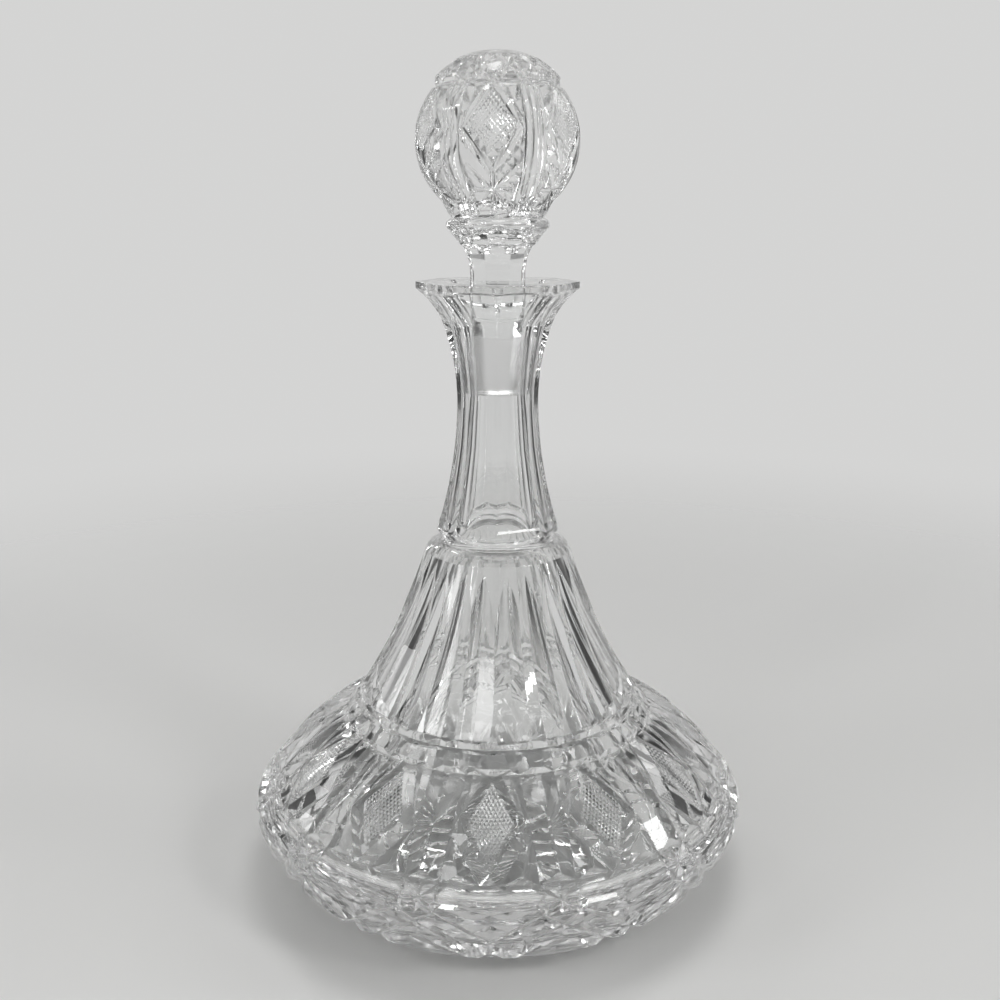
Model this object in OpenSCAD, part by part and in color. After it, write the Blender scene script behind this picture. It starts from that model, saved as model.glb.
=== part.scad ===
// Ships decanter in cut glass: a wide, low bottle with a tall neck and a loose stopper.
// Millimetres, +Z up, origin at the centre of the ring that the bottle stands on.
// A profile point is [radius, height]. The front of the decanter faces -Y.

/* [Belly] */
// Radius of the ring that stands on the table
foot_r = 60; // [52:0.5:70]
// Width of the standing ring
foot_w = 6; // [3:0.5:10]
// Depth of the hollow inside the standing ring
foot_hollow = 1.6; // [0.8:0.1:2.4]
// Largest radius of the bottle
belly_r = 91; // [88:0.5:110]
// Height of the largest radius
belly_h = 31.5; // [26:0.5:40]
// Outward bow of the belly's underside
belly_bow = 6.5; // [4:0.1:8]
// Radius at the top of the lower girdle
hip_r = 84; // [78:0.5:87]
// Height of the lower girdle
lower_girdle_h = 7.9; // [6:0.1:12]

/* [Panels and shoulder] */
// Height of the band of diamond panels
panel_h = 23.2; // [18:0.1:32]
// Radius at the top of the diamond panels
panel_top_r = 56.6; // [54:0.1:64]
// Outward bow of the diamond panels
panel_bow = 2.2; // [1:0.1:3]
// Height of the upper girdle
upper_girdle_h = 6; // [4:0.1:9]
// Radius at the foot of the shoulder
shoulder_foot_r = 51.4; // [46:0.1:53]
// Height of the fluted shoulder
shoulder_h = 54.9; // [45:0.1:70]
// Radius at the top of the shoulder
shoulder_top_r = 26; // [24:0.1:30]
// Inward sag of the shoulder
shoulder_sag = 1.9; // [1:0.1:3]
// Height of the rounded cap over the shoulder
cap_h = 3.5; // [2.5:0.1:5]

/* [Neck] */
// Radius of the groove under the neck ring
neck_groove_r = 20.2; // [19:0.1:20.8]
// Height of the groove under the neck ring
neck_groove_h = 2; // [1:0.1:3]
// Radius of the neck ring
neck_ring_r = 21.7; // [21.4:0.1:23]
// Height of the neck ring
neck_ring_h = 2.5; // [1.5:0.1:4]
// Height of the neck from its ring to the rim
neck_h = 86.1; // [76:0.1:100]
// Height of the narrowest place above the neck ring
throat_h = 46.5; // [40:0.1:55]
// Distance from the axis to a flat of the neck, at its narrowest place
throat_flat = 13.1; // [12.6:0.1:14]
// Distance from the axis to a flat of the neck, just over its foot
neck_foot_flat = 18.4; // [17.6:0.1:18.8]
// Height of the bell that opens out to the lip, measured down from the rim
bell_h = 14.1; // [12:0.1:17]
// Distance from the axis to a flat of the neck, at the foot of the bell
bell_flat = 17.4; // [16.8:0.1:18.2]
// Inward sag of the bell
bell_sag = 1; // [0.6:0.1:1.4]
// Distance from the axis to a flat of the neck, at the lip
lip_flat = 26.1; // [25:0.1:28]
// Radius to which the corners of the lip are turned
lip_r = 28; // [27.5:0.1:30]
// Thickness of the lip's upright edge
lip_t = 2.2; // [1:0.1:3]

/* [Inside] */
// Thickness of the wall
wall = 8; // [7:0.1:9]
// Thickness of the floor
floor_t = 10; // [8:0.1:13]
// Radius of the mouth at the rim
mouth_r = 17.6; // [16:0.1:22]
// Depth of the open funnel of the mouth
mouth_d = 10; // [8:0.1:13]
// Radius at the foot of the funnel
funnel_r = 12.2; // [11.6:0.1:14.5]
// Gap between the ground peg and its seat, all round
seat_gap = 0.12; // [0.08:0.01:0.2]

/* [Stopper] */
// Depth of the top of the ground peg below the rim
peg_top_d = 17; // [15:0.1:20]
// Length of the ground peg
peg_l = 21; // [16:0.1:26]
// Radius of the peg at its top, and of the stem
stem_r = 10; // [9.6:0.1:10.4]
// Radius of the peg at its end
peg_end_r = 8.6; // [8:0.1:9]
// Height of the straight stem above the rim
stem_h = 3.7; // [2:0.1:8]
// Height of the flare from the stem to the collar
flare_h = 13.9; // [10:0.1:18]
// Inward sag of the flare
flare_sag = 1.2; // [0.5:0.1:2]
// Radius of the collar
collar_r = 17.3; // [16.8:0.1:19]
// Height of the collar's rounded edge
collar_h = 3.4; // [2:0.1:5]
// Radius of the waist between collar and knob
waist_r = 15.7; // [14.5:0.1:16.2]
// Height of the cone from the waist to the knob
knob_foot_h = 5.4; // [4:0.1:8]
// Radius at the foot of the knob's round part
knob_foot_r = 18.6; // [17.5:0.1:19.5]
// Height of the knob's round part
knob_h = 35.4; // [30:0.1:42]
// Radius at the top of the knob's round part
knob_top_r = 21.4; // [20.5:0.1:22.5]
// Outward bow of the knob
knob_bow = 7.2; // [5:0.1:8.5]
// Radius of the dome that closes the knob
dome_r = 19.8; // [18.5:0.1:20.2]
// Height of the dome's upright edge
dome_edge_h = 3.4; // [2:0.1:5]
// Height of the dome's round part
dome_h = 8.5; // [6:0.1:11]

/* [Cutting] */
// Number of diamond panels round the body
bays = 12; // [10:1:14]
// Turn of the body's cutting against the neck's
body_turn = -1.7; // [-15:0.1:15]
// Width of the plain column between two panels
column_w = 12; // [9:0.1:13]
// Depth of the shoulder flutes at the foot
flute_d = 2.3; // [1.6:0.1:2.8]
// Extra depth of the shoulder flutes at mid height
flute_swell = 1.6; // [0.8:0.1:2]
// Slope of a flute's side from the surface
flute_slope = 20; // [16:0.5:24]
// Depth of the mitred lines
mitre_d = 1; // [0.6:0.1:1.4]
// Depth of the mitred lines on the knob
knob_mitre_d = 0.7; // [0.4:0.1:1]
// Slope of a mitred line's side from the surface
mitre_slope = 42; // [36:1:50]
// Width of the flat foot of a diamond
diamond_foot = 8; // [4:0.1:11]
// Plain glass between the middles of two cuts that don't meet
cut_margin = 3; // [2.6:0.1:4]
// Share of the belly's underside below the zigzag line
zigzag_low = 0.3; // [0.2:0.05:0.4]
// Share of the belly's underside below the zigzag's upper corners
zigzag_high = 0.85; // [0.7:0.05:0.9]
// Number of rays of the star under the foot
foot_rays = 24; // [16:2:32]
// Number of flats round the neck
neck_flats = 8; // [6:2:10]
// Number of diamond panels round the knob
knob_bays = 6; // [5:1:7]
// Turn of the knob's cutting against the neck's
knob_turn = -4; // [-30:0.5:30]
// Width of the rib between two panels of the knob
rib_w = 4; // [3:0.1:5]
// Number of rays of the star on the dome
dome_rays = 12; // [8:2:16]
// Number of thumbprints round the collar
collar_prints = 8; // [6:1:10]
// Depth of a thumbprint in the collar
print_d = 0.8; // [0.4:0.1:1.2]
// Radius of the round wheel that cuts the thumbprints
print_r = 6; // [5:0.5:8]

/* [Hidden] */
$fn = 96;

// Straight pieces that a curved profile is drawn with
STEPS = 4;
// Height by which a cutter stands out of the glass
RISE = 0.8;
// Angle from +X to the front of the decanter
FRONT = -90;

// Heights of the bottle's profile, stacked from the table up
hip_z = belly_h + lower_girdle_h;
panel_top_z = hip_z + panel_h;
shoulder_z = panel_top_z + upper_girdle_h;
cap_z = shoulder_z + shoulder_h;
groove_z = cap_z + cap_h;
ring_z = groove_z + neck_groove_h + neck_ring_h;
throat_z = ring_z + throat_h;
rim_z = ring_z + neck_h;

// Heights of the stopper's profile
peg_top_z = rim_z - peg_top_d;
peg_end_z = peg_top_z - peg_l;
flare_z = rim_z + stem_h;
collar_z = flare_z + flare_h;
waist_z = collar_z + collar_h;
knob_z = waist_z + knob_foot_h;
dome_z = knob_z + knob_h;
cupola_z = dome_z + dome_edge_h;
top_z = cupola_z + dome_h;

// Corners of the bottle's profile
foot = [foot_r, 0];
belly = [belly_r, belly_h];
hip = [hip_r, hip_z];
panel_top = [panel_top_r, panel_top_z];
shoulder_foot = [shoulder_foot_r, shoulder_z];
shoulder_top = [shoulder_top_r, cap_z];
knob_foot = [knob_foot_r, knob_z];
knob_top = [knob_top_r, dome_z];

// Directions square to the profile, out of the glass
panel_out = outward(hip, panel_top);
girdle_out = outward(belly, hip);
shoulder_out = outward(shoulder_foot, shoulder_top);

// Unit vector along v
function unit(v) = v / norm(v);
// Direction to the right of the way from a to b: out of the glass, going up a profile
function outward(a, b) = unit([b.y - a.y, a.x - b.x]);
// Radius of the arc from a to b that bows by the given length
function arc_r(a, b, bow) = let (half = norm(b - a) / 2) (half * half + bow * bow) / (2 * abs(bow));
// Centre of the arc from a to b that bows outward, or inward if the bow is negative
function arc_centre(a, b, bow) = (a + b) / 2 + outward(a, b) * (bow - sign(bow) * arc_r(a, b, bow));
// Point on that arc, with t running from 0 at a to 1 at b
function arc_point(a, b, bow, t) =
    let (r = arc_r(a, b, bow), turn = asin(norm(b - a) / 2 / r) * (2 * t - 1), way = unit(b - a))
    (a + b) / 2 + way * r * sin(turn) + outward(a, b) * sign(bow) * (r * cos(turn) - r + abs(bow));
// Direction out of the glass at that point
function arc_out(a, b, bow, t) = unit(arc_point(a, b, bow, t) - arc_centre(a, b, bow)) * sign(bow);
// Points along that arc, without its last one
function arc(a, b, bow) = [for (i = [0:STEPS - 1]) arc_point(a, b, bow, i / STEPS)];
// Bow of an arc from a to b that is upright at its end b
function upright_bow(a, b) =
    let (span = abs(b.y - a.y), side = abs(b.x - a.x), r = (span * span + side * side) / (2 * side))
    r - sqrt(r * r - (span * span + side * side) / 4);
// Closed row of places with one more half way between each two
function halved(places) = [
    for (i = [0:len(places) - 1])
        each [places[i], (places[i] + places[(i + 1) % len(places)]) / 2]
];
// Half the angle that a rib takes up, at a share t of the way up the knob
function rib_angle(t) = asin(rib_w / 2 / arc_point(knob_foot, knob_top, knob_bow, t).x);
// Half the angle that a column takes up, at a share t of the way up the panels
function column_angle(t) = asin(column_w / 2 / arc_point(hip, panel_top, panel_bow, t).x);
// Profile point p turned to an angle round the axis
function around(p, angle) = [p.x * cos(angle), p.x * sin(angle), p.y];

// Ring turned from profile points
module turned(points) {
    rotate_extrude()
        polygon(points);
}

// V groove along a path of points on the glass. outs holds the direction out of the glass at each point.
// The sharp edge lies at depth d under the path, and the sides stand over the path by the given rise.
// A closed groove runs on from the last point to the first, and its corners are mitred.
module groove(path, outs, d, rise, slope, closed = false) {
    n = len(path);
    last = n - 1;
    half = (d + rise) / tan(slope);
    points = [
        for (i = [0:last])
            let (
                come = closed ? path[i] - path[(i + last) % n] : path[max(i, 1)] - path[max(i, 1) - 1],
                go = closed ? path[(i + 1) % n] - path[i] : path[min(i, last - 1) + 1] - path[min(i, last - 1)],
                side_in = unit(cross(outs[i], come)),
                side_out = unit(cross(outs[i], go)),
                side = (side_in + side_out) / (1 + side_in * side_out) * half,
                top = path[i] + outs[i] * rise
            )
            each [path[i] - outs[i] * d, top + side, top - side]
    ];
    sides = [
        for (i = [0:closed ? last : last - 1], k = [0:2])
            let (j = (i + 1) % n, next = (k + 1) % 3)
            [3 * i + k, 3 * j + k, 3 * j + next, 3 * i + next]
    ];
    ends = closed ? [] : [[0, 1, 2], [3 * last + 2, 3 * last + 1, 3 * last]];
    polyhedron(points, concat(sides, ends));
}

// Groove on a turned arc from a to b. Each place is [share of the way from a to b, angle round the axis].
module arc_groove(a, b, bow, places, d, slope, closed = false) {
    path = [for (p = places) around(arc_point(a, b, bow, p[0]), p[1])];
    outs = [for (p = places) around(arc_out(a, b, bow, p[0]), p[1])];
    groove(path, outs, d, RISE, slope, closed);
}

// Turned groove of depth d at a profile point
module ring_groove(p, out, d) {
    along = [-out.y, out.x];
    far = p + out * d;
    turned([p - out * d, far + along * d * 2, far - along * d * 2]);
}

// Outside of the bottle up to the neck ring, before cutting
module body_blank() {
    cap_top = [neck_groove_r, groove_z];
    turned(concat(
        [[0, 0]],
        arc(foot, belly, belly_bow),
        [belly],
        arc(hip, panel_top, panel_bow),
        [panel_top],
        arc(shoulder_foot, shoulder_top, -shoulder_sag),
        arc(shoulder_top, cap_top, cap_h / 4),
        [cap_top, [neck_groove_r, groove_z + neck_groove_h], [neck_ring_r, ring_z], [0, ring_z]]
    ));
}

// Neck with its flats, from the ring to the rim
module neck() {
    foot_z = ring_z + neck_ring_h * 2;
    throat = [throat_flat, throat_z];
    bell = [bell_flat, rim_z - bell_h];
    neck_foot = [neck_foot_flat, foot_z];
    runout = [neck_ring_r + 0.3, ring_z];
    lip = [lip_flat, rim_z - lip_t];
    half = concat(
        [[runout.x, groove_z]],
        arc(runout, neck_foot, -0.4),
        arc(neck_foot, throat, -upright_bow(neck_foot, throat)),
        arc(throat, bell, -upright_bow(bell, throat)),
        arc(bell, lip, -bell_sag),
        [lip, [lip_flat, rim_z]]
    );
    back = [for (i = [len(half) - 1:-1:0]) [-half[i].x, half[i].y]];
    corner_r = neck_foot_flat / cos(180 / neck_flats) + 0.4;
    intersection() {
        turned([
            [0, groove_z], [neck_groove_r - 1, groove_z], [neck_groove_r - 1, ring_z], [neck_ring_r, ring_z],
            [corner_r, foot_z], [lip_r, throat_z], [lip_r, rim_z], [0, rim_z]
        ]);
        intersection_for (i = [0:neck_flats / 2 - 1])
            rotate(FRONT + (i + 0.5) * 360 / neck_flats)
                rotate([90, 0, 0])
                    linear_extrude(lip_r * 3, center = true)
                        polygon(concat(half, back));
    }
}

// Hollow of the bottle: belly, shoulder, bore, ground seat and mouth
module hollow() {
    end_r = peg_end_r + seat_gap;
    inner_belly = belly - [wall, 0];
    inner_hip = hip - panel_out * wall;
    inner_panel_top = panel_top - panel_out * wall;
    inner_foot = shoulder_foot - unit(panel_out + shoulder_out) * wall;
    inner_top = shoulder_top - shoulder_out * wall;
    turned(concat(
        [[0, floor_t]],
        arc([foot_r - foot_w, floor_t], inner_belly, belly_bow - 1),
        [inner_belly],
        arc(inner_hip, inner_panel_top, panel_bow),
        [inner_panel_top],
        arc(inner_foot, inner_top, -shoulder_sag),
        [
            inner_top, [end_r, ring_z], [end_r, peg_end_z], [stem_r + seat_gap, peg_top_z],
            [funnel_r, rim_z - mouth_d], [mouth_r, rim_z], [mouth_r, rim_z + 1], [0, rim_z + 1]
        ]
    ));
}

// V flutes of the shoulder, one on each side line of a column. They run out at the top of the shoulder.
module flutes() {
    line_angle = asin(column_w / 2 / shoulder_foot_r);
    low = shoulder_foot - shoulder_out * flute_d;
    high = shoulder_top + shoulder_out * RISE / 2;
    path = [for (t = [0:STEPS]) around(arc_point(low, high, -shoulder_sag - flute_swell, t / STEPS), 0)];
    outs = [for (p = path) around(shoulder_out, 0)];
    for (i = [0:bays - 1], side = [-1, 1])
        rotate((i + 0.5) * 360 / bays + side * line_angle)
            groove(path, outs, 0, flute_d + RISE, flute_slope);
}

// Lines along both sides of each column
module column_lines() {
    margin = cut_margin / norm(panel_top - hip);
    shares = [for (i = [0:STEPS]) margin + (1 - 2 * margin) * i / STEPS];
    for (i = [0:bays - 1], side = [-1, 1])
        rotate((i + 0.5) * 360 / bays)
            arc_groove(
                hip, panel_top, panel_bow,
                [for (t = shares) [t, side * column_angle(t)]],
                mitre_d, mitre_slope
            );
}

// Mitred diamond with a cut-off foot on each panel
module diamonds() {
    margin = cut_margin / norm(panel_top - hip);
    foot_angle = asin(diamond_foot / 2 / hip_r);
    side_angle = 180 / bays - column_angle(0.5) - asin(cut_margin / hip_r);
    corners = [
        [margin, foot_angle], [0.5, side_angle], [1 - margin, 0], [0.5, -side_angle], [margin, -foot_angle]
    ];
    for (i = [0:bays - 1])
        rotate(i * 360 / bays)
            arc_groove(hip, panel_top, panel_bow, halved(corners), mitre_d, mitre_slope, closed = true);
}

// Turned lines of both girdles
module girdle_lines() {
    for (p = [shoulder_foot, panel_top, hip, belly])
        ring_groove(p, girdle_out, mitre_d / 2);
    for (t = [1, 2] / 3)
        ring_groove(belly + (hip - belly) * t, girdle_out, mitre_d / 2);
}

// Crossed lines on the lower girdle under each column
module girdle_crosses() {
    reach = asin(column_w / 2 / belly_r);
    out = around(girdle_out, 0);
    for (i = [0:bays - 1], side = [-1, 1])
        rotate((i + 0.5) * 360 / bays)
            groove([around(belly, -side * reach), around(hip, side * reach)], [out, out], mitre_d, RISE, mitre_slope);
}

// Zigzag line round the belly, with its upper corners under the columns
module belly_zigzag() {
    period = 2 * STEPS;
    places = [
        for (i = [0:period * bays - 1])
            let (wave = abs(i % period - STEPS) / STEPS)
            [zigzag_low + (zigzag_high - zigzag_low) * wave, (i / period + 0.5) * 360 / bays]
    ];
    arc_groove(foot, belly, belly_bow, places, mitre_d, mitre_slope, closed = true);
}

// Hollow under the foot with its star of rays
module foot_star() {
    hollow_r = foot_r - foot_w;
    down = [0, 0, -1];
    translate([0, 0, -1])
        cylinder(h = foot_hollow + 1, r = hollow_r);
    for (i = [0:foot_rays / 2 - 1])
        rotate(i * 360 / foot_rays)
            groove(
                [[-hollow_r, 0, foot_hollow], [hollow_r, 0, foot_hollow]],
                [down, down], mitre_d, RISE, mitre_slope
            );
}

module bottle() {
    color("gainsboro")
        difference() {
            union() {
                body_blank();
                neck();
            }
            hollow();
            foot_star();
            girdle_lines();
            rotate(FRONT + body_turn) {
                flutes();
                column_lines();
                diamonds();
                girdle_crosses();
                belly_zigzag();
            }
        }
}

// Outside of the stopper before cutting
module stopper_blank() {
    flare = [stem_r, flare_z];
    collar = [collar_r, collar_z];
    waist = [waist_r, waist_z];
    dome = [dome_r, cupola_z];
    turned(concat(
        [[0, peg_end_z], [peg_end_r, peg_end_z], [stem_r, peg_top_z]],
        arc(flare, collar, -flare_sag),
        arc(collar, waist, collar_h / 5),
        [waist],
        arc(knob_foot, knob_top, knob_bow),
        [knob_top, [dome_r, dome_z]],
        arc(dome, [0, top_z], upright_bow([0, cupola_z], [dome_h, cupola_z + dome_r])),
        [[0, top_z]]
    ));
}

// Lines along both sides of each rib of the knob
module rib_lines() {
    for (i = [0:knob_bays - 1], side = [-1, 1])
        rotate((i + 0.5) * 360 / knob_bays)
            arc_groove(
                knob_foot, knob_top, knob_bow,
                [for (t = [0:STEPS]) [t / STEPS, side * rib_angle(t / STEPS)]],
                knob_mitre_d, mitre_slope
            );
}

// Mitred diamond on each panel of the knob
module knob_diamonds() {
    side_angle = 180 / knob_bays - rib_angle(0.6) - asin(cut_margin / knob_top_r);
    corners = [[0.25, 0], [0.6, side_angle], [0.92, 0], [0.6, -side_angle]];
    for (i = [0:knob_bays - 1])
        rotate(i * 360 / knob_bays)
            arc_groove(knob_foot, knob_top, knob_bow, halved(corners), knob_mitre_d, mitre_slope, closed = true);
}

// Star of rays over the dome
module dome_star() {
    sphere_r = (dome_r * dome_r + dome_h * dome_h) / (2 * dome_h);
    reach = asin(dome_r / sphere_r);
    outs = [for (t = [-STEPS:STEPS]) [sin(reach * t / STEPS), 0, cos(reach * t / STEPS)]];
    path = [for (out = outs) [0, 0, top_z - sphere_r] + out * sphere_r];
    for (i = [0:dome_rays / 2 - 1])
        rotate((i + 0.5) * 360 / dome_rays)
            groove(path, outs, knob_mitre_d, RISE, mitre_slope);
}

// Thumbprints round the flare under the collar
module collar_thumbprints() {
    middle = arc_point([stem_r, flare_z], [collar_r, collar_z], -flare_sag, 0.7);
    out = outward([stem_r, flare_z], [collar_r, collar_z]);
    for (i = [0:collar_prints - 1])
        rotate(i * 360 / collar_prints)
            translate(around(middle + out * (print_r - print_d), 0))
                sphere(r = print_r);
}

module stopper() {
    color("gainsboro")
        difference() {
            stopper_blank();
            rotate(FRONT + knob_turn) {
                rib_lines();
                knob_diamonds();
                dome_star();
                collar_thumbprints();
            }
        }
}

bottle();
stopper();
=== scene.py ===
"""Ships decanter in cut glass: the bottle and its loose stopper, turned and cut as real glass is, in a studio."""

import logging
import math
from collections.abc import Callable
from dataclasses import dataclass
from enum import Enum
from itertools import pairwise

import bmesh
import bpy
from mathutils import Matrix, Vector


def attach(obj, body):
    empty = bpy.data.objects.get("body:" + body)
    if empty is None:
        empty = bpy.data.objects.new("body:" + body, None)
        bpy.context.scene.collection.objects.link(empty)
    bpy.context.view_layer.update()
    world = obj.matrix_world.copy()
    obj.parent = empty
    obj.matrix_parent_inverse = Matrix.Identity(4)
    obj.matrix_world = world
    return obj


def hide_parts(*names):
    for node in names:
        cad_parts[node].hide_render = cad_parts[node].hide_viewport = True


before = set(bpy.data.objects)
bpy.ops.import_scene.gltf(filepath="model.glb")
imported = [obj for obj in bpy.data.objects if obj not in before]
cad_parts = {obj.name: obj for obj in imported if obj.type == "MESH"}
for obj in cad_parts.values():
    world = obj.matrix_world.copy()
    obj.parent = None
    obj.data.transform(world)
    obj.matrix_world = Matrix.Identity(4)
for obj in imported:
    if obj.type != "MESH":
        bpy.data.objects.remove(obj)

LOG = logging.getLogger("decanter")

# Metres in a millimetre: all sizes of the glass are millimetres
MM = 0.001
# Degrees from +X to the front of the decanter
FRONT = -90.0
# Edges that turn by more than this many degrees stay crisp
CRISP = 8.0
# Points of an outline closer than this many millimetres are one
SAME = 1e-6
# Corners of a mesh closer than this many millimetres are merged
MERGE = 1e-4
# Share of a stretch that is cut off at each of its ends when a line is softened
CORNER = 0.25


class Side(Enum):
    """Left and right of the middle of a bay, seen from outside."""

    LEFT = -1
    RIGHT = 1


@dataclass(frozen=True)
class Finish:
    """Surface of the crystal after its last working: two fine noises give relief and dullness. Edges are soft."""

    name: str
    tint: tuple[float, float, float]
    clearness: float
    relief_scale: float
    relief: float
    dull_scale: float
    dull_start: float
    dull: tuple[float, float]
    ior: float = 1.54
    edge: float = 0.00045
    grain: float = 1.0

    def material(self) -> bpy.types.Material:
        """Makes the material once.

        Returns:
            The material.
        """
        if self.name in bpy.data.materials:
            return bpy.data.materials[self.name]
        made = bpy.data.materials.new(self.name)
        made.use_nodes = True
        nodes, links = made.node_tree.nodes, made.node_tree.links
        shader = nodes["Principled BSDF"]
        shader.inputs["Base Color"].default_value = (*self.tint, 1)
        shader.inputs["Transmission Weight"].default_value = self.clearness
        shader.inputs["IOR"].default_value = self.ior
        coords = nodes.new("ShaderNodeTexCoord")
        grain = nodes.new("ShaderNodeMapping")
        grain.inputs["Scale"].default_value = (1, 1, self.grain)
        waves = nodes.new("ShaderNodeTexNoise")
        waves.inputs["Scale"].default_value = self.relief_scale
        edges = nodes.new("ShaderNodeBevel")
        edges.inputs["Radius"].default_value = self.edge
        bump = nodes.new("ShaderNodeBump")
        bump.inputs["Distance"].default_value = self.relief
        patches = nodes.new("ShaderNodeTexNoise")
        patches.inputs["Scale"].default_value = self.dull_scale
        dull = nodes.new("ShaderNodeMapRange")
        dull.inputs["From Min"].default_value = self.dull_start
        dull.inputs["To Min"].default_value, dull.inputs["To Max"].default_value = self.dull
        links.new(coords.outputs["Object"], grain.inputs["Vector"])
        links.new(grain.outputs["Vector"], waves.inputs["Vector"])
        links.new(coords.outputs["Object"], patches.inputs["Vector"])
        links.new(waves.outputs["Fac"], bump.inputs["Height"])
        links.new(edges.outputs["Normal"], bump.inputs["Normal"])
        links.new(bump.outputs["Normal"], shader.inputs["Normal"])
        links.new(patches.outputs["Fac"], dull.inputs["Value"])
        links.new(dull.outputs["Result"], shader.inputs["Roughness"])
        return made


class Surface(Enum):
    """Surfaces that a piece of glass has, in the order of its material slots."""

    POLISHED = Finish(
        "polished_crystal", tint=(0.997, 1.0, 0.999), clearness=1.0, relief_scale=160, relief=0.00002,
        dull_scale=45, dull_start=0.55, dull=(0, 0.06),
    )
    HATCHED = Finish(
        "hatched_crystal", tint=(0.997, 1.0, 0.999), clearness=1.0, relief_scale=160, relief=0.00002,
        dull_scale=900, dull_start=0.2, dull=(0.06, 0.18), edge=0.0001,
    )
    GROUND = Finish(
        "ground_crystal", tint=(1.0, 1.0, 1.0), clearness=1.0, relief_scale=1500, relief=0.00005,
        dull_scale=2600, dull_start=0, dull=(0.14, 0.32), grain=0.03,
    )

    @property
    def slot(self) -> int:
        """Number of the material slot."""
        return list(Surface).index(self)


@dataclass(frozen=True)
class Arc:
    """Arc of a profile from one [radius, height] point up to another. A positive bow swells out of the glass."""

    start: tuple[float, float]
    end: tuple[float, float]
    bow: float
    steps: int

    def points(self) -> list[Vector]:
        """Points along the arc.

        Returns:
            The points from the start to the end, both included.
        """
        start, end = Vector(self.start), Vector(self.end)
        chord = end - start
        shares = [i / self.steps for i in range(self.steps + 1)]
        if not self.bow:
            return [start + chord * share for share in shares]
        half = chord.length / 2
        along = chord.normalized()
        out = Vector((chord.y, -chord.x)).normalized() * math.copysign(1.0, self.bow)
        radius = (half * half + self.bow * self.bow) / (2 * abs(self.bow))
        reach = math.asin(half / radius)
        middle = (start + end) / 2 + out * (abs(self.bow) - radius)
        turns = [reach * (2 * share - 1) for share in shares]
        return [middle + radius * (along * math.sin(turn) + out * math.cos(turn)) for turn in turns]


@dataclass(frozen=True)
class VCut:
    """V cut: its depth, the slope of its sides from the skin in degrees, and the steps of its path."""

    depth: float
    slope: float
    steps: int


@dataclass(frozen=True)
class RingCut:
    """V cut right round the glass: its height, its depth and the slope of its upper and lower side in degrees."""

    height: float
    depth: float
    above: float
    below: float


@dataclass(frozen=True)
class Station:
    """Place on the path of a V cut."""

    place: Vector
    out: Vector
    depth: float
    slope: float


def turned_to(angle: float) -> Matrix:
    """Turn round the axis by an angle in degrees."""
    return Matrix.Rotation(math.radians(angle), 4, "Z")


def softened(points: list[Vector], rounds: int) -> list[Vector]:
    """Cuts the corners of a line of points, so that it runs smoothly.

    Args:
        points: The points of the line.
        rounds: How often all corners are cut.

    Returns:
        The smoother line, with the same ends.
    """
    for _ in range(rounds):
        cut = [points[0]]
        for low, high in pairwise(points):
            if (high - low).length > SAME:
                cut += [low.lerp(high, CORNER), low.lerp(high, 1 - CORNER)]
        points = cut + [points[-1]]
    return points


def spun(points: list[Vector], segments: int, closed: bool) -> bmesh.types.BMesh:
    """Spins a line of [radius, height] points into a solid.

    Args:
        points: The points, from axis to axis unless closed.
        segments: Number of steps round the axis.
        closed: True for a line that runs on from its last point to its first.

    Returns:
        The closed solid, with its faces outwards.
    """
    solid = bmesh.new()
    verts = [solid.verts.new((point.x, 0, point.y)) for point in points]
    edges = [solid.edges.new(pair) for pair in pairwise(verts)]
    if closed:
        edges.append(solid.edges.new((verts[-1], verts[0])))
    bmesh.ops.spin(
        solid, geom=verts + edges, axis=(0, 0, 1), cent=(0, 0, 0), dvec=(0, 0, 0),
        angle=math.tau, steps=segments, use_merge=True,
    )
    bmesh.ops.remove_doubles(solid, verts=solid.verts, dist=MERGE)
    bmesh.ops.recalc_face_normals(solid, faces=solid.faces)
    return solid


def repeated(tool: bmesh.types.BMesh, count: int, turn: float) -> bmesh.types.BMesh:
    """Repeats a tool evenly round the axis.

    Args:
        tool: The tool at angle 0.
        count: Number of places round the axis.
        turn: Degrees by which all of them are turned.

    Returns:
        The same tool with its copies.
    """
    bmesh.ops.rotate(tool, verts=tool.verts, cent=(0, 0, 0), matrix=turned_to(turn).to_3x3())
    bmesh.ops.spin(
        tool, geom=tool.verts[:] + tool.edges[:] + tool.faces[:], axis=(0, 0, 1), cent=(0, 0, 0),
        dvec=(0, 0, 0), angle=math.tau * (count - 1) / count, steps=count - 1, use_duplicate=True,
    )
    bmesh.ops.recalc_face_normals(tool, faces=tool.faces)
    return tool


def flat_tool(points: list[Vector], half_width: float) -> bmesh.types.BMesh:
    """Extrudes a tool that cuts a flat: straight across, and shaped along the axis.

    Args:
        points: Its [distance from the axis, height] outline.
        half_width: Half its width across.

    Returns:
        The tool, facing +X.
    """
    tool = bmesh.new()
    face = tool.faces.new([tool.verts.new((point.x, -half_width, point.y)) for point in points])
    grown = bmesh.ops.extrude_face_region(tool, geom=[face])["geom"]
    moved = [item for item in grown if isinstance(item, bmesh.types.BMVert)]
    bmesh.ops.translate(tool, vec=(0, 2 * half_width, 0), verts=moved)
    return tool


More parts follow.
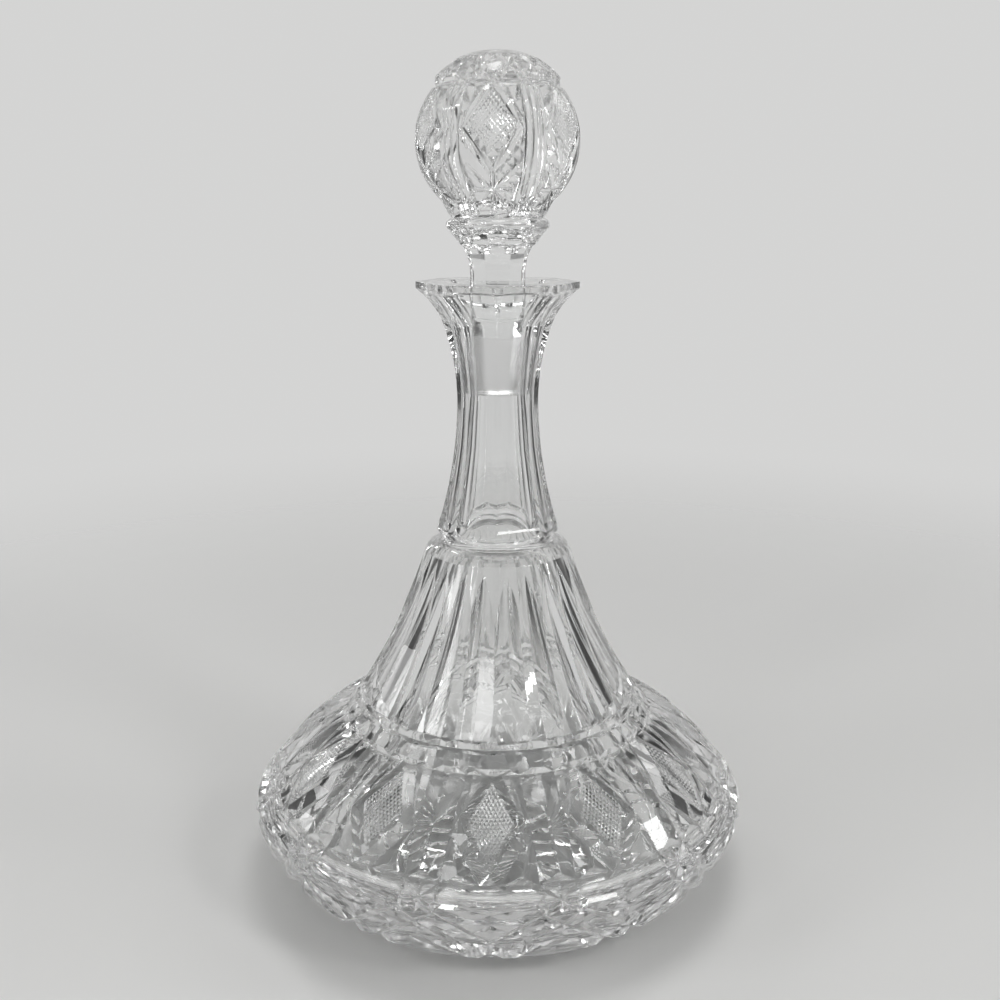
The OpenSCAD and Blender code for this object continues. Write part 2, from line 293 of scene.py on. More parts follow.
class Wheel:
    """Cutting wheel with a V edge, whose section stands out of the skin by a rise, and further on a ring."""

    RISE = 0.8
    RING_RISE = 4 * RISE
    LEAST = 0.05
    SECTION = ((0, 0, 0), (1, 1, 0), (-1, 1, 0))

    def sweep(self, stations: list[Station]) -> bmesh.types.BMesh:
        """Sweeps the V edge along a path, by extruding its section from station to station.

        Args:
            stations: Places along the path, with the depth and the slope of the sides at each.

        Returns:
            The space that the wheel takes.
        """
        frames = self.frames(stations)
        tool = bmesh.new()
        verts = [tool.verts.new(frames[0] @ Vector(corner)) for corner in self.SECTION]
        edges = [tool.edges.new((verts[i], verts[i - 1])) for i in range(len(verts))]
        ends = edges
        for before, after in pairwise(frames):
            grown = bmesh.ops.extrude_edge_only(tool, edges=edges)["geom"]
            edges = [item for item in grown if isinstance(item, bmesh.types.BMEdge)]
            moved = [item for item in grown if isinstance(item, bmesh.types.BMVert)]
            bmesh.ops.transform(tool, matrix=after @ before.inverted(), verts=moved)
        bmesh.ops.holes_fill(tool, edges=ends + edges)
        return tool

    def frames(self, stations: list[Station]) -> list[Matrix]:
        """Frames that place the V section along a path.

        Args:
            stations: Places along the path.

        Returns:
            One matrix for each station, with the sharp edge at its origin.
        """
        frames = []
        for i, station in enumerate(stations):
            way = stations[min(i + 1, len(stations) - 1)].place - stations[max(i - 1, 0)].place
            tall = max(station.depth + self.RISE, self.LEAST)
            wide = tall / math.tan(math.radians(station.slope))
            across = station.out.cross(way).normalized() * wide
            section = Matrix((across, station.out * tall, way.normalized())).transposed().to_4x4()
            frames.append(Matrix.Translation(station.place - station.out * station.depth) @ section)
        return frames


class Blank:
    """Turned blank of a piece, which gives places on its skin for the cuts."""

    # Millimetres above and below a ring at which the lie of the skin is taken
    PROBE = 0.05

    def __init__(self, points: list[Vector], segments: int) -> None:
        """Keeps the outline.

        Args:
            points: The [radius, height] points from the axis up and back to the axis.
            segments: Number of steps round the axis.
        """
        self.segments = segments
        self.points = points[:1]
        for point in points[1:]:
            if (point - self.points[-1]).length > SAME:
                self.points.append(point)

    def solid(self) -> bmesh.types.BMesh:
        """Turns the blank."""
        return spun(self.points, self.segments, closed=False)

    def skin(self, height: float, angle: float) -> tuple[Vector, Vector]:
        """Finds a point on the skin.

        Args:
            height: Height of the point.
            angle: Degrees round the axis.

        Returns:
            The point and the direction out of the glass there.
        """
        low, high = next(pair for pair in pairwise(self.points) if pair[0].y <= height < pair[1].y)
        point = low.lerp(high, (height - low.y) / (high.y - low.y))
        way = high - low
        turn = turned_to(angle)
        return turn @ Vector((point.x, 0, height)), turn @ Vector((way.y, 0, -way.x)).normalized()

    def angle(self, across: float, height: float) -> float:
        """Degrees that a distance across takes up at a height."""
        return math.degrees(across / self.skin(height, 0)[0].x)

    def line(self, corners: list[tuple[float, float]], cut: VCut) -> bmesh.types.BMesh:
        """Cuts a line over the skin.

        Args:
            corners: Corners of the line as [millimetres across from angle 0, height].
            cut: The cut.

        Returns:
            The tool, at angle 0.
        """
        stations = []
        for start, end in pairwise(corners):
            for i in range(1 if stations else 0, cut.steps + 1):
                across, height = Vector(start).lerp(Vector(end), i / cut.steps)
                point, out = self.skin(height, self.angle(across, height))
                stations.append(Station(point, out, cut.depth, cut.slope))
        return Wheel().sweep(stations)

    def ring(self, cut: RingCut) -> bmesh.types.BMesh:
        """Cuts a V right round the blank.

        Args:
            cut: The cut.

        Returns:
            The tool.
        """
        point = self.skin(cut.height, 0)[0].xz
        up_out, down_out = (self.skin(cut.height + step, 0)[1].xz for step in (self.PROBE, -self.PROBE))
        out = (up_out + down_out).normalized()
        sharp = point - out * cut.depth
        sides = []
        for skin_out, slope, sign in ((up_out, cut.above, 1), (down_out, cut.below, -1)):
            lean = math.radians(slope)
            along = Vector((-skin_out.y, skin_out.x)) * sign * math.cos(lean) + skin_out * math.sin(lean)
            sides.append(sharp + along * (cut.depth + Wheel.RISE) / math.sin(lean))
        above, below = sides
        crest = sharp + out * (cut.depth + Wheel.RING_RISE)
        return spun([sharp, above, crest, below], self.segments, closed=True)

    def hatching(
        self, corners: tuple[tuple[float, float], ...], count: int, cut: VCut,
    ) -> list[bmesh.types.BMesh]:
        """Cuts crossed lines over a diamond, which leave a field of small points.

        Args:
            corners: Left, top, right and bottom corner as [millimetres across from angle 0, height].
            count: Number of lines each way.
            cut: One line.

        Returns:
            One tool for each line, at angle 0.
        """
        left, top, right, bottom = (Vector(corner) for corner in corners)
        tools = []
        for i in range(count):
            share = (i + 0.5) / count
            tools.append(self.line([left.lerp(bottom, share), top.lerp(right, share)], cut))
            tools.append(self.line([left.lerp(top, share), bottom.lerp(right, share)], cut))
        return tools


class Carving:
    """Blank on the cutter's bench, with the tools that are taken out of it."""

    def __init__(self, name: str, blank: bmesh.types.BMesh) -> None:
        """Sets up the blank.

        Args:
            name: Name of the piece.
            blank: The uncut solid. It is used up.
        """
        self.tools: list[bpy.types.Object] = []
        self.piece = self.on_bench(name, blank)

    def on_bench(self, name: str, solid: bmesh.types.BMesh) -> bpy.types.Object:
        """Makes an object of a solid.

        Args:
            name: The object's name.
            solid: The solid. It is used up.

        Returns:
            The object, linked to the scene.
        """
        mesh = bpy.data.meshes.new(name)
        solid.to_mesh(mesh)
        solid.free()
        made = bpy.data.objects.new(name, mesh)
        bpy.context.scene.collection.objects.link(made)
        return made

    def take(self, tool: bmesh.types.BMesh) -> None:
        """Takes a tool's space out of the glass.

        Args:
            tool: The tool. It is used up.
        """
        cutter = self.on_bench("tool", tool)
        self.tools.append(cutter)
        cut = self.piece.modifiers.new(cutter.name, "BOOLEAN")
        cut.operation = "DIFFERENCE"
        cut.solver = "MANIFOLD"
        cut.object = cutter

    def take_around(self, tools: list[bmesh.types.BMesh], count: int, turn: float) -> None:
        """Takes tools out all round the glass.

        Args:
            tools: The tools at angle 0. They are used up.
            count: Number of places round the axis.
            turn: Degrees by which all of them are turned.
        """
        for tool in tools:
            self.take(repeated(tool, count, turn))

    def take_in_two(self, make: Callable[[], bmesh.types.BMesh], count: int, turn: float) -> None:
        """Takes a tool out all round the glass, every other place first, because neighbours overlap.

        Args:
            make: Makes the tool at angle 0.
            count: Number of places round the axis.
            turn: Degrees by which all of them are turned.
        """
        for first in range(2):
            self.take_around([make()], count // 2, turn + first * 360 / count)

    def finish(self) -> bpy.types.Object:
        """Makes all the cuts and clears the bench.

        Returns:
            The cut piece, in metres, with crisp edges.
        """
        piece = self.piece
        bpy.context.view_layer.update()
        cut = piece.evaluated_get(bpy.context.evaluated_depsgraph_get())
        mesh = bpy.data.meshes.new_from_object(cut)
        piece.modifiers.clear()
        spent = [tool.data for tool in self.tools] + [piece.data]
        for tool in self.tools:
            bpy.data.objects.remove(tool)
        piece.data = mesh
        for data in spent:
            bpy.data.meshes.remove(data)
        mesh.name = piece.name
        mesh.transform(Matrix.Diagonal((MM, MM, MM, 1)))
        mesh.shade_smooth()
        mesh.set_sharp_from_angle(angle=math.radians(CRISP))
        return piece


class Glassware:
    """Piece of cut glass: what the bottle and the stopper have in common.

    All sizes are millimetres. Outlines are [radius, height], and lines on the skin are [across, height].
    """

    # Millimetres under the skin down to which faces count as hatched
    HATCH_REACH = 1.0

    blank: Blank
    bays: int
    turn: float
    diamond: tuple[tuple[tuple[float, float], tuple[float, float]], ...]
    diamond_cut: VCut
    hatch: tuple[tuple[float, float], ...]

    @property
    def at_panel(self) -> float:
        """Degrees to the middle of the front panel."""
        return FRONT + self.turn

    @property
    def at_column(self) -> float:
        """Degrees to the middle of the column beside the front panel."""
        return self.at_panel + 180 / self.bays

    def diamond_sides(self) -> list[bmesh.types.BMesh]:
        """Cuts the four sides of the diamond on a panel.

        Returns:
            One tool for each side, at angle 0.
        """
        return [
            self.blank.line([(across * side.value, height) for across, height in ends], self.diamond_cut)
            for ends in self.diamond for side in Side
        ]

    def is_hatched(self, place: Vector) -> bool:
        """Tells whether a place on the outside lies in a hatched diamond.

        Args:
            place: The place.

        Returns:
            True inside a diamond.
        """
        (_, middle), (_, top), (half, _), (_, bottom) = self.hatch
        if not bottom < place.z < top:
            return False
        if place.xy.length < self.blank.skin(place.z, 0)[0].x - self.HATCH_REACH:
            return False
        bay = 360 / self.bays
        angle = (math.degrees(math.atan2(place.y, place.x)) - self.at_panel + bay / 2) % bay - bay / 2
        across = abs(math.radians(angle)) * place.xy.length
        reach = (top if place.z > middle else bottom) - middle
        return across / half + (place.z - middle) / reach < 1

    def is_ground(self, place: Vector) -> bool:
        """Tells whether a place on the glass is ground, which each piece answers for itself."""
        raise NotImplementedError

    def dress(self, piece: bpy.types.Object) -> None:
        """Gives each face of the cut piece its surface.

        Args:
            piece: The cut piece.
        """
        mesh = piece.data
        mesh.materials.clear()
        for surface in Surface:
            mesh.materials.append(surface.value.material())
        for face in mesh.polygons:
            place = face.center / MM
            if self.is_ground(place):
                face.material_index = Surface.GROUND.slot
            elif self.is_hatched(place):
                face.material_index = Surface.HATCHED.slot


@dataclass
class Bottle(Glassware):
    """Bottle: foot, belly, shoulder, neck and lip in one piece of glass."""

    bays: int = 12
    turn: float = -1.7
    segments: int = 288
    column_w: float = 12.0
    shoulder: Arc = Arc((51.4, 68.6), (26, 123.5), -1.9, 16)
    outline: tuple[Arc, ...] = (
        Arc((60, 0), (91, 31.5), 6.5, 14),
        Arc((91, 31.5), (84, 39.4), 0, 2),
        Arc((84, 39.4), (56.6, 62.6), 2.2, 12),
        Arc((56.6, 62.6), (51.4, 68.6), 0, 2),
        shoulder,
        Arc((26, 123.5), (20.2, 127), 0.9, 5),
        Arc((20.2, 129), (21.6, 130.4), 0.3, 4),
        Arc((21.6, 130.4), (21.4, 131.5), 0.2, 3),
    )
    neck_blank: tuple[tuple[float, float], ...] = ((20.3, 136.5), (28, 178), (28, 217.6), (0, 217.6))
    cavity: tuple[Arc, ...] = (
        Arc((54, 10), (83, 31.5), 5.5, 8),
        Arc((78.8, 33.3), (51.4, 56.5), 2.2, 6),
        Arc((45, 63.8), (18.7, 120.1), -1.9, 8),
    )
    bore: tuple[tuple[float, float], ...] = ((17, 126.6), (14.8, 129.8), (14.2, 134), (10.4, 160))
    bore_rounds: int = 3
    seat: tuple[tuple[float, float], ...] = ((8.72, 179.6), (10.12, 200.6))
    seat_reach: float = 0.1
    mouth: tuple[tuple[float, float], ...] = (
        (10.6, 204.4), (12.2, 207.6), (17.1, 216.6), (18, 217.7), (18, 219), (0, 219),
    )
    neck_panel: tuple[Arc, ...] = (
        Arc((22, 131.2), (18.95, 134.4), -0.4, 5),
        Arc((18.95, 134.4), (13.1, 178), -1.47, 10),
        Arc((13.1, 178), (17.4, 203.5), -1.0, 10),
        Arc((17.4, 203.5), (26.1, 215.4), -1.05, 10),
    )
    neck_panel_back: tuple[tuple[float, float], ...] = ((26.1, 219), (60, 219), (60, 131.1), (22, 131.1))
    neck_panel_w: float = 26.0
    neck_flats: int = 8
    flute_d: float = 2.3
    flute_swell: float = 1.6
    flute_rise: float = 0.4
    flute_gap: float = 0.1
    flute_steps: int = 24
    flute_slope: float = 20.0
    column_line: tuple[tuple[float, float, float], ...] = (
        (67.6, 1.7, 20), (65.6, 1.2, 20), (63.6, 1.3, 18), (62, 1.6, 17), (59, 1.7, 17), (55, 1.8, 17),
        (51, 1.8, 17), (47, 1.8, 17), (43, 1.8, 17), (40, 1.7, 17), (38.6, 1.2, 17), (37.6, 0.2, 17),
    )
    girdle_rings: tuple[RingCut, ...] = (
        RingCut(68.6, 1.6, 30, 42), RingCut(62.6, 1.3, 36, 40),
        RingCut(39.4, 1.3, 28, 40), RingCut(31.5, 1.3, 30, 40),
    )
    diamond: tuple[tuple[tuple[float, float], tuple[float, float]], ...] = (
        ((12.8, 51), (3.0, 63)), ((3.0, 39), (12.8, 51)),
    )
    diamond_cut: VCut = VCut(1.7, 22, 8)
    hatch: tuple[tuple[float, float], ...] = ((-7.6, 53), (0, 61), (7.6, 53), (0, 43.4))
    hatch_lines: int = 11
    hatch_cut: VCut = VCut(0.5, 42, 5)
    star: tuple[tuple[tuple[float, float], tuple[float, float]], ...] = (
        ((-5.6, 31.9), (5.6, 39)), ((5.6, 31.9), (-5.6, 39)),
        ((0, 31.6), (0, 39.2)), ((-5.6, 35.5), (5.6, 35.5)),
        ((-6, 31), (-6, 39.6)), ((6, 31), (6, 39.6)),
    )
    star_cut: VCut = VCut(1.2, 33, 6)
    prism: tuple[tuple[float, float], tuple[float, float]] = ((-16.8, 36.2), (16.8, 36.2))
    prism_cut: VCut = VCut(1.3, 32, 16)
    lattice_top: float = 31.4
    lattice_foot: float = 3.0
    lattice_across: float = 6.5
    lattice_lean: float = 23.0
    lattice_cut: VCut = VCut(1.6, 26, 16)
    foot_hollow: tuple[tuple[float, float], ...] = ((0, -1), (54, -1), (54, 0.6), (53, 1.6), (0, 1.6))
    rays: int = 24
    ray_ends: tuple[float, float] = (3.0, 50.0)
    ray_cut: VCut = VCut(0.8, 10, 4)

    def __post_init__(self) -> None:
        """Draws the outline of the blank."""
        points = [Vector((0, 0))]
        for arc in self.outline:
            points += arc.points()
        self.blank = Blank(points + [Vector(point) for point in self.neck_blank], self.segments)

    def build(self) -> bpy.types.Object:
        """Turns, hollows and cuts the bottle.

        Returns:
            The finished piece.
        """
        at_panel, at_column, blank = self.at_panel, self.at_column, self.blank
        work = Carving("cut_bottle", blank.solid())
        work.take(self.inside())
        work.take(spun([Vector(point) for point in self.foot_hollow], self.segments, closed=False))
        work.take_in_two(self.foot_ray, self.rays, FRONT)
        work.take_in_two(self.neck_flat, self.neck_flats, FRONT + 180 / self.neck_flats)
        work.take_around([self.side_line(side) for side in Side], self.bays, at_column)
        for cut in self.girdle_rings:
            work.take(blank.ring(cut))
        work.take_around(self.diamond_sides(), self.bays, at_panel)
        work.take_around(blank.hatching(self.hatch, self.hatch_lines, self.hatch_cut), self.bays, at_panel)
        work.take_around([blank.line(list(ray), self.star_cut) for ray in self.star], self.bays, at_column)
        work.take_around([blank.line(list(self.prism), self.prism_cut)], self.bays, at_panel)
        work.take_around(self.lattice_lines(), self.bays, at_column)
        return work.finish()

    def inside(self) -> bmesh.types.BMesh:
        """Turns the space inside the bottle.

        Returns:
            The space, open at the mouth.
        """
        points = [Vector((0, self.cavity[0].start[1]))]
        for arc in self.cavity:
            points += arc.points()
        points = softened(points + [Vector(point) for point in self.bore], self.bore_rounds)
        points += [Vector(point) for point in self.seat + self.mouth]
        return spun(points, self.segments // 2, closed=False)

    def neck_flat(self) -> bmesh.types.BMesh:
        """Makes the tool for one flat of the neck.

        Returns:
            The tool, facing +X.
        """
        points = []
        for arc in self.neck_panel:
            points += arc.points()[:-1]
        points.append(Vector(self.neck_panel[-1].end))
        return flat_tool(points + [Vector(point) for point in self.neck_panel_back], self.neck_panel_w / 2)

    def side_line(self, side: Side) -> bmesh.types.BMesh:
        """Cuts one side line of a column: a flute down the shoulder, then on over the panels to the lower girdle.

        The flute swells as a parabola, which is 1 in its middle.

        Args:
            side: The side of the column.

        Returns:
            The tool, at angle 0.
        """
        (foot_r, foot), (_, top) = self.shoulder.start, self.shoulder.end
        reach = top - self.flute_gap - foot
        places = []
        for i in range(self.flute_steps + 1):
            share = 1 - i / self.flute_steps
            swell = 4 * self.flute_swell * share * (1 - share)
            depth = self.flute_d * (1 - share) - self.flute_rise * share + swell
            places.append((foot + reach * share, depth, self.flute_slope))
        stations = []
        for height, depth, slope in (*places, *self.column_line):
            radius = max(self.blank.skin(height, 0)[0].x, foot_r)
            angle = math.degrees(math.asin(self.column_w / 2 / radius)) * side.value
            stations.append(Station(*self.blank.skin(height, angle), depth, slope))
        return Wheel().sweep(stations)

    def lattice_lines(self) -> list[bmesh.types.BMesh]:
        """Cuts the leaning lines of the belly, two from each lower corner of a star.

        Returns:
            One tool for each line, at angle 0.
        """
        first = self.blank.angle(self.lattice_across, self.lattice_top)
        cut = self.lattice_cut
        tools = []
        for side in Side:
            for lean in Side:
                stations = []
                for i in range(cut.steps + 1):
                    share = i / cut.steps
                    height = self.lattice_top + (self.lattice_foot - self.lattice_top) * share
                    angle = side.value * first + lean.value * self.lattice_lean * share
                    stations.append(Station(*self.blank.skin(height, angle), cut.depth, cut.slope))
                tools.append(Wheel().sweep(stations))
        return tools

    def foot_ray(self) -> bmesh.types.BMesh:
        """Cuts one ray of the star under the foot, which runs out at its inner end.

        Returns:
            The tool, along +X.
        """
        near, far = self.ray_ends
        cut = self.ray_cut
        stations = []
        for i in range(cut.steps + 1):
            share = i / cut.steps
            place = Vector((near + (far - near) * share, 0, self.foot_hollow[-1][1]))
            stations.append(Station(place, Vector((0, 0, -1)), cut.depth * place.x / far, cut.slope))
        return Wheel().sweep(stations)

    def is_ground(self, place: Vector) -> bool:
        """Tells whether a place lies on the seat of the peg.

        Args:
            place: The place.

        Returns:
            True on the seat.
        """
        (_, low), (radius, high) = self.seat
        return low < place.z < high and place.xy.length < radius + self.seat_reach


@dataclass
class Stopper(Glassware):
    """Stopper: cut knob, collar, stem and ground peg in one piece of glass."""

    bays: int = 6
    turn: float = -4.0
    segments: int = 192
    peg: tuple[tuple[float, float], ...] = ((0, 179.6), (8.0, 179.6), (8.6, 180.2), (10, 200.6))
    outline: tuple[Arc, ...] = (
        Arc((10, 221.3), (17.3, 235.2), -1.2, 12),
        Arc((17.3, 235.2), (15.7, 238.6), 0.9, 8),
        Arc((15.7, 238.6), (18.6, 244), 0, 2),
        Arc((18.6, 244), (21.6, 279.4), 7.2, 22),
    )
    dome: tuple[Arc, ...] = (
        Arc((19.7, 279.6), (20.5, 280.6), 0, 1),
        Arc((20.5, 280.6), (20.5, 283), 0.1, 2),
        Arc((20.5, 283), (0, 291.3), 2.7, 14),
    )
    ribs: tuple[float, ...] = (-2.6, 0, 2.6)
    rib_heights: tuple[float, ...] = (239.4, 244, 250, 262, 274, 279.2)
    rib_cut: VCut = VCut(0.85, 36, 4)
    diamond: tuple[tuple[tuple[float, float], tuple[float, float]], ...] = (
        ((10.2, 266), (0.4, 279)), ((0.4, 253), (10.2, 266)),
    )
    diamond_cut: VCut = VCut(0.8, 32, 6)
    hatch: tuple[tuple[float, float], ...] = ((-8.4, 266.6), (0, 277.6), (8.4, 266.6), (0, 259.6))
    hatch_lines: int = 10
    hatch_cut: VCut = VCut(0.5, 38, 6)
    star: tuple[tuple[tuple[float, float], tuple[float, float]], ...] = (
        ((5.6, 241.6), (-8.6, 255)), ((-5.6, 241.6), (8.6, 255)),
        ((0, 240), (0, 254)), ((-6.4, 247.4), (6.4, 247.4)),
    )
    star_cut: VCut = VCut(0.7, 36, 8)
    crown_points: int = 12
    crown_line: tuple[tuple[float, float], ...] = ((0, 280.2), (4.6, 285.6), (6, 288.8))
    crown_cut: VCut = VCut(1.1, 34, 6)
    stem_panel: tuple[tuple[float, float], ...] = (
        (9.3, 206), (9.3, 221), (9.6, 224), (10.4, 227), (11.7, 229.6), (14.5, 231), (40, 231), (40, 206),
    )
    stem_panel_w: float = 14.0
    stem_flats: int = 8
    prints: int = 8
    print_r: float = 5.0
    print_d: float = 1.7
    print_z: float = 233.2
    print_steps: tuple[int, int] = (40, 24)

    def __post_init__(self) -> None:
        """Draws the outline of the blank."""
        points = [Vector(point) for point in self.peg]
        for arc in self.outline + self.dome:
            points += arc.points()
        self.blank = Blank(points, self.segments)

    def build(self) -> bpy.types.Object:
        """Turns and cuts the stopper.

        Returns:
            The finished piece.
        """
        at_panel, at_rib, blank = self.at_panel, self.at_column, self.blank
        work = Carving("cut_stopper", blank.solid())
        ribs = [
            blank.line([(across, height) for height in self.rib_heights], self.rib_cut)
            for across in self.ribs
        ]
        work.take_around(ribs, self.bays, at_rib)
        work.take_around(self.diamond_sides(), self.bays, at_panel)
        work.take_around(blank.hatching(self.hatch, self.hatch_lines, self.hatch_cut), self.bays, at_panel)
        work.take_around([blank.line(list(ray), self.star_cut) for ray in self.star], self.bays, at_panel)
        zigzag = [
            blank.line([(across * side.value, height) for across, height in self.crown_line], self.crown_cut)
            for side in Side
        ]
        work.take_around(zigzag, self.crown_points, at_panel)
        work.take_in_two(self.stem_flat, self.stem_flats, FRONT)
        work.take_around([self.thumbprint()], self.prints, FRONT)
        return work.finish()

    def stem_flat(self) -> bmesh.types.BMesh:
        """Makes the tool for one flat of the stem."""
        return flat_tool([Vector(point) for point in self.stem_panel], self.stem_panel_w / 2)

    def thumbprint(self) -> bmesh.types.BMesh:
        """Cuts one thumbprint under the collar.

        Returns:
            The tool, at angle 0.
        """
        tool = bmesh.new()
        around, along = self.print_steps
        bmesh.ops.create_uvsphere(tool, u_segments=around, v_segments=along, radius=self.print_r)
        point, out = self.blank.skin(self.print_z, 0)
        bmesh.ops.translate(tool, vec=point + out * (self.print_r - self.print_d), verts=tool.verts)
        return tool

    def is_ground(self, place: Vector) -> bool:
        """Tells whether a place lies on the peg."""
        *_, (_, low), (_, high) = self.peg
        return low < place.z < high


@dataclass(frozen=True)
class Lamp:
    """Soft box: its name, place, width and height in metres, and its power in watts."""

    name: str
    place: tuple[float, float, float]
    width: float
    height: float
    power: float


@dataclass
class Studio:
    """Plain studio: pale floor that fades into the backdrop, soft lights and the camera at the photograph's angle.

    The world's steps are pairs of the values at which a smooth step starts and ends, on the direction of a ray.
    """

    backdrop: tuple[float, float, float] = (0.66, 0.66, 0.655)
    glow: float = 0.95
    front: float = 0.45
    dim: float = 0.06
    sides: float = 4.0
    side_step: tuple[float, float] = (-0.75, -0.35)
    band_steps: tuple[tuple[float, float], tuple[float, float]] = ((0.62, 0.68), (0.92, 0.86))
    front_step: tuple[float, float] = (-0.2, -0.8)
    floor_r: float = 2.2
    floor_segments: int = 96
    floor_roughness: float = 0.7
    floor_colour: tuple[float, float, float] = (0.78, 0.78, 0.77)
    floor_fade: tuple[float, float] = (0.12, 0.8)
    eye: tuple[float, float, float] = (0.0008, -0.3966, 0.2419)
    pitch: float = -14.33
    lens: float = 41.2
    sensor: float = 36.0
    bounces: int = 24
    target: tuple[float, float, float] = (0, 0, 0.13)
    lamps: tuple[Lamp, ...] = (
        Lamp("key", (0.75, -0.65, 0.80), 0.25, 0.25, 2.4),
        Lamp("fill", (-0.90, -0.40, 0.50), 0.30, 0.30, 1.4),
        Lamp("top", (0.10, 0.05, 1.20), 0.50, 0.50, 3.0),
        Lamp("left_strip", (-0.60, -0.75, 0.50), 0.015, 1.0, 1.2),
        Lamp("right_strip", (0.95, -0.15, 0.55), 0.015, 1.0, 1.2),
        Lamp("front_strip", (0.0, -0.80, 0.90), 1.0, 0.015, 1.2),
        Lamp("back_strip", (-0.50, 0.80, 0.60), 0.015, 1.0, 1.0),
    )

    def build(self) -> None:
        """Sets up floor, light and camera."""
        self.lay_floor()
        self.paint_backdrop()
        self.place_lights()
        self.place_camera()
        scene = bpy.context.scene
        scene.view_settings.view_transform = "Standard"
        scene.cycles.max_bounces = self.bounces
        scene.cycles.transmission_bounces = self.bounces
        scene.cycles.glossy_bounces = self.bounces // 2

    def lay_floor(self) -> None:
        """Lays the round floor, which is clear towards its edge."""
        disc = bmesh.new()
        bmesh.ops.create_circle(disc, cap_ends=True, segments=self.floor_segments, radius=self.floor_r)
        mesh = bpy.data.meshes.new("floor")
        disc.to_mesh(mesh)
        disc.free()
        floor = bpy.data.objects.new("floor", mesh)
        bpy.context.scene.collection.objects.link(floor)
        material = bpy.data.materials.new("pale_floor")
        material.use_nodes = True
        nodes, links = material.node_tree.nodes, material.node_tree.links
        shader = nodes["Principled BSDF"]
        shader.inputs["Base Color"].default_value = (*self.floor_colour, 1)
        shader.inputs["Roughness"].default_value = self.floor_roughness
        coords = nodes.new("ShaderNodeTexCoord")
        length = nodes.new("ShaderNodeVectorMath")
        length.operation = "LENGTH"
        fade = nodes.new("ShaderNodeMapRange")
        fade.interpolation_type = "SMOOTHSTEP"
        fade.inputs["From Min"].default_value, fade.inputs["From Max"].default_value = self.floor_fade
        clear = nodes.new("ShaderNodeBsdfTransparent")
        mix = nodes.new("ShaderNodeMixShader")
        links.new(coords.outputs["Object"], length.inputs[0])
        links.new(length.outputs["Value"], fade.inputs["Value"])
        links.new(fade.outputs["Result"], mix.inputs["Fac"])
        links.new(shader.outputs["BSDF"], mix.inputs[1])
        links.new(clear.outputs["BSDF"], mix.inputs[2])
        links.new(mix.outputs["Shader"], nodes["Material Output"].inputs["Surface"])
        mesh.materials.append(material)

    def paint_backdrop(self) -> None:
        """Paints an even backdrop. Only the glass shows its dimmer front and the dim strips between its sides."""
        world = bpy.data.worlds.new("studio")
        world.use_nodes = True
        nodes, links = world.node_tree.nodes, world.node_tree.links

        def worked_out(
            operation: str, first: bpy.types.NodeSocket | float, second: bpy.types.NodeSocket | float = 0.0,
        ) -> bpy.types.NodeSocket:
            """Adds a Math node.

            Args:
                operation: What it works out.
                first: Its first socket or number.
                second: Its second socket or number.

            Returns:
                Its output.
            """
            node = nodes.new("ShaderNodeMath")
            node.operation = operation
            for socket, value in zip(node.inputs, (first, second)):
                if isinstance(value, (int, float)):
                    socket.default_value = value
                else:
                    links.new(value, socket)
            return node.outputs["Value"]

        def stepped(value: bpy.types.NodeSocket, start: float, stop: float) -> bpy.types.NodeSocket:
            """Adds a smooth step from 0 at start to 1 at stop.

            Args:
                value: The socket that is followed.
                start: Value at which the step begins.
                stop: Value at which it ends.

            Returns:
                The step's output.
            """
            node = nodes.new("ShaderNodeMapRange")
            node.interpolation_type = "SMOOTHSTEP"
            node.inputs["From Min"].default_value = start
            node.inputs["From Max"].default_value = stop
            links.new(value, node.inputs["Value"])
            return node.outputs["Result"]

        coords = nodes.new("ShaderNodeTexCoord")
        split = nodes.new("ShaderNodeSeparateXYZ")
        links.new(coords.outputs["Generated"], split.inputs["Vector"])
        azimuth = worked_out("ARCTAN2", split.outputs["X"], split.outputs["Y"])
        sides = stepped(worked_out("COSINE", worked_out("MULTIPLY", azimuth, self.sides)), *self.side_step)
        rise, fall = (stepped(split.outputs["Z"], *ends) for ends in self.band_steps)
        band = worked_out("MULTIPLY", rise, fall)
        lit = worked_out("MULTIPLY", sides, worked_out("SUBTRACT", 1.0, band))
        front = worked_out("MULTIPLY", stepped(split.outputs["Y"], *self.front_step), 1 - self.front)
        lit = worked_out("MULTIPLY", lit, worked_out("SUBTRACT", 1.0, front))
        rays = nodes.new("ShaderNodeLightPath")
        glow = worked_out("ADD", worked_out("MULTIPLY", lit, self.glow - self.dim), self.dim)
        seen = rays.outputs["Is Camera Ray"]
        unseen = worked_out("MULTIPLY", glow, worked_out("SUBTRACT", 1.0, seen))
        strength = worked_out("ADD", unseen, seen)
        nodes["Background"].inputs["Color"].default_value = (*self.backdrop, 1)
        links.new(strength, nodes["Background"].inputs["Strength"])
        bpy.context.scene.world = world

    def place_lights(self) -> None:
        """Hangs the soft lights, all turned to the decanter."""
        for lamp in self.lamps:
            light = bpy.data.lights.new(lamp.name, "AREA")
            light.shape = "RECTANGLE"
            light.size, light.size_y = lamp.width, lamp.height
            light.energy = lamp.power
            box = bpy.data.objects.new(lamp.name, light)
            box.location = lamp.place
            way = Vector(self.target) - Vector(lamp.place)
            box.rotation_euler = way.to_track_quat("-Z", "Y").to_euler()
            bpy.context.scene.collection.objects.link(box)

    def place_camera(self) -> None:
        """Places the camera."""
        data = bpy.data.cameras.new("camera")
        data.sensor_width = self.sensor
        data.lens = self.lens
        camera = bpy.data.objects.new("camera", data)
        camera.location = self.eye
        camera.rotation_euler = (math.radians(90 + self.pitch), 0, 0)
        bpy.context.scene.collection.objects.link(camera)
        bpy.context.scene.camera = camera


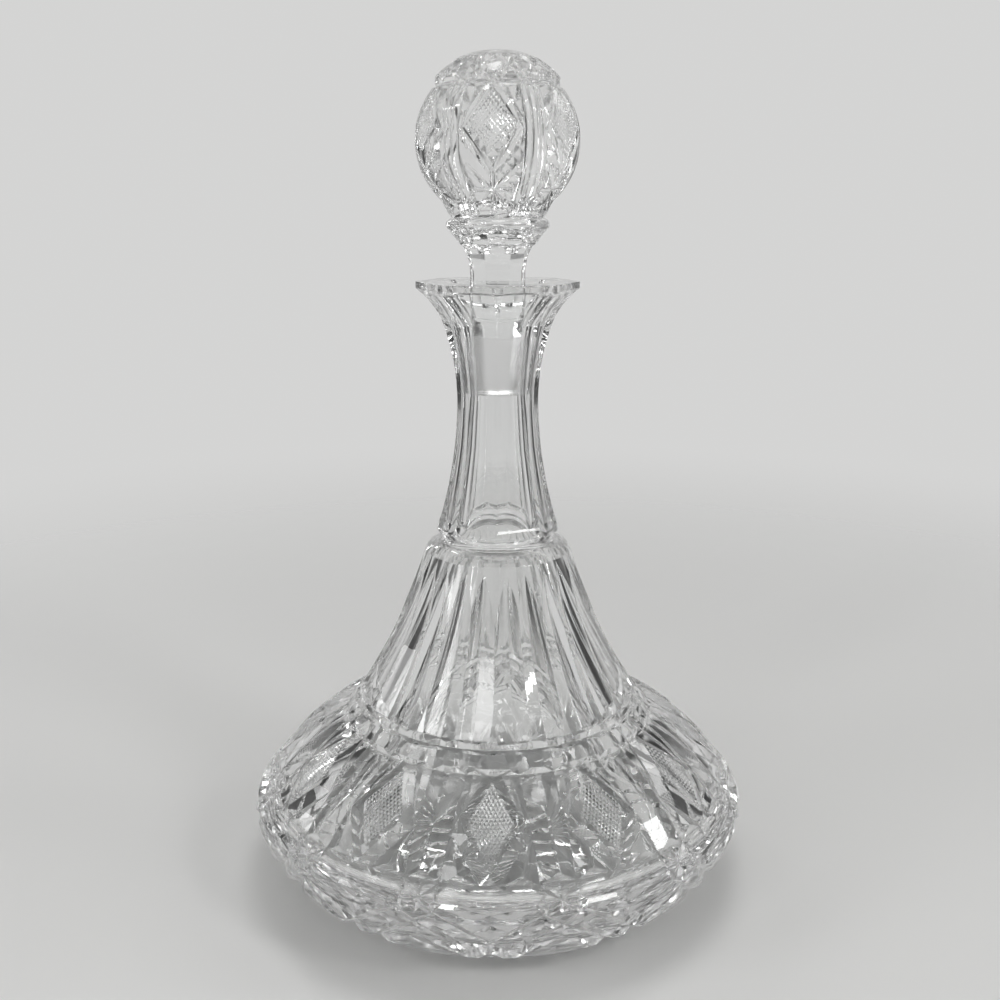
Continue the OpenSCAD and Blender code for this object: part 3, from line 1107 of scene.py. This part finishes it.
def main() -> None:
    """Builds the decanter and its studio."""
    logging.basicConfig(level=logging.INFO)
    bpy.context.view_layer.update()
    for maker, node in ((Bottle(), "bottle"), (Stopper(), "stopper")):
        piece = maker.build()
        maker.dress(piece)
        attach(piece, node)
        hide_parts(node)
        LOG.info("%s: %d faces", piece.name, len(piece.data.polygons))
    studio = Studio()
    studio.build()
    LOG.info("studio: floor, backdrop, %d lights and camera", len(studio.lamps))


if __name__ == "__main__":
    main()
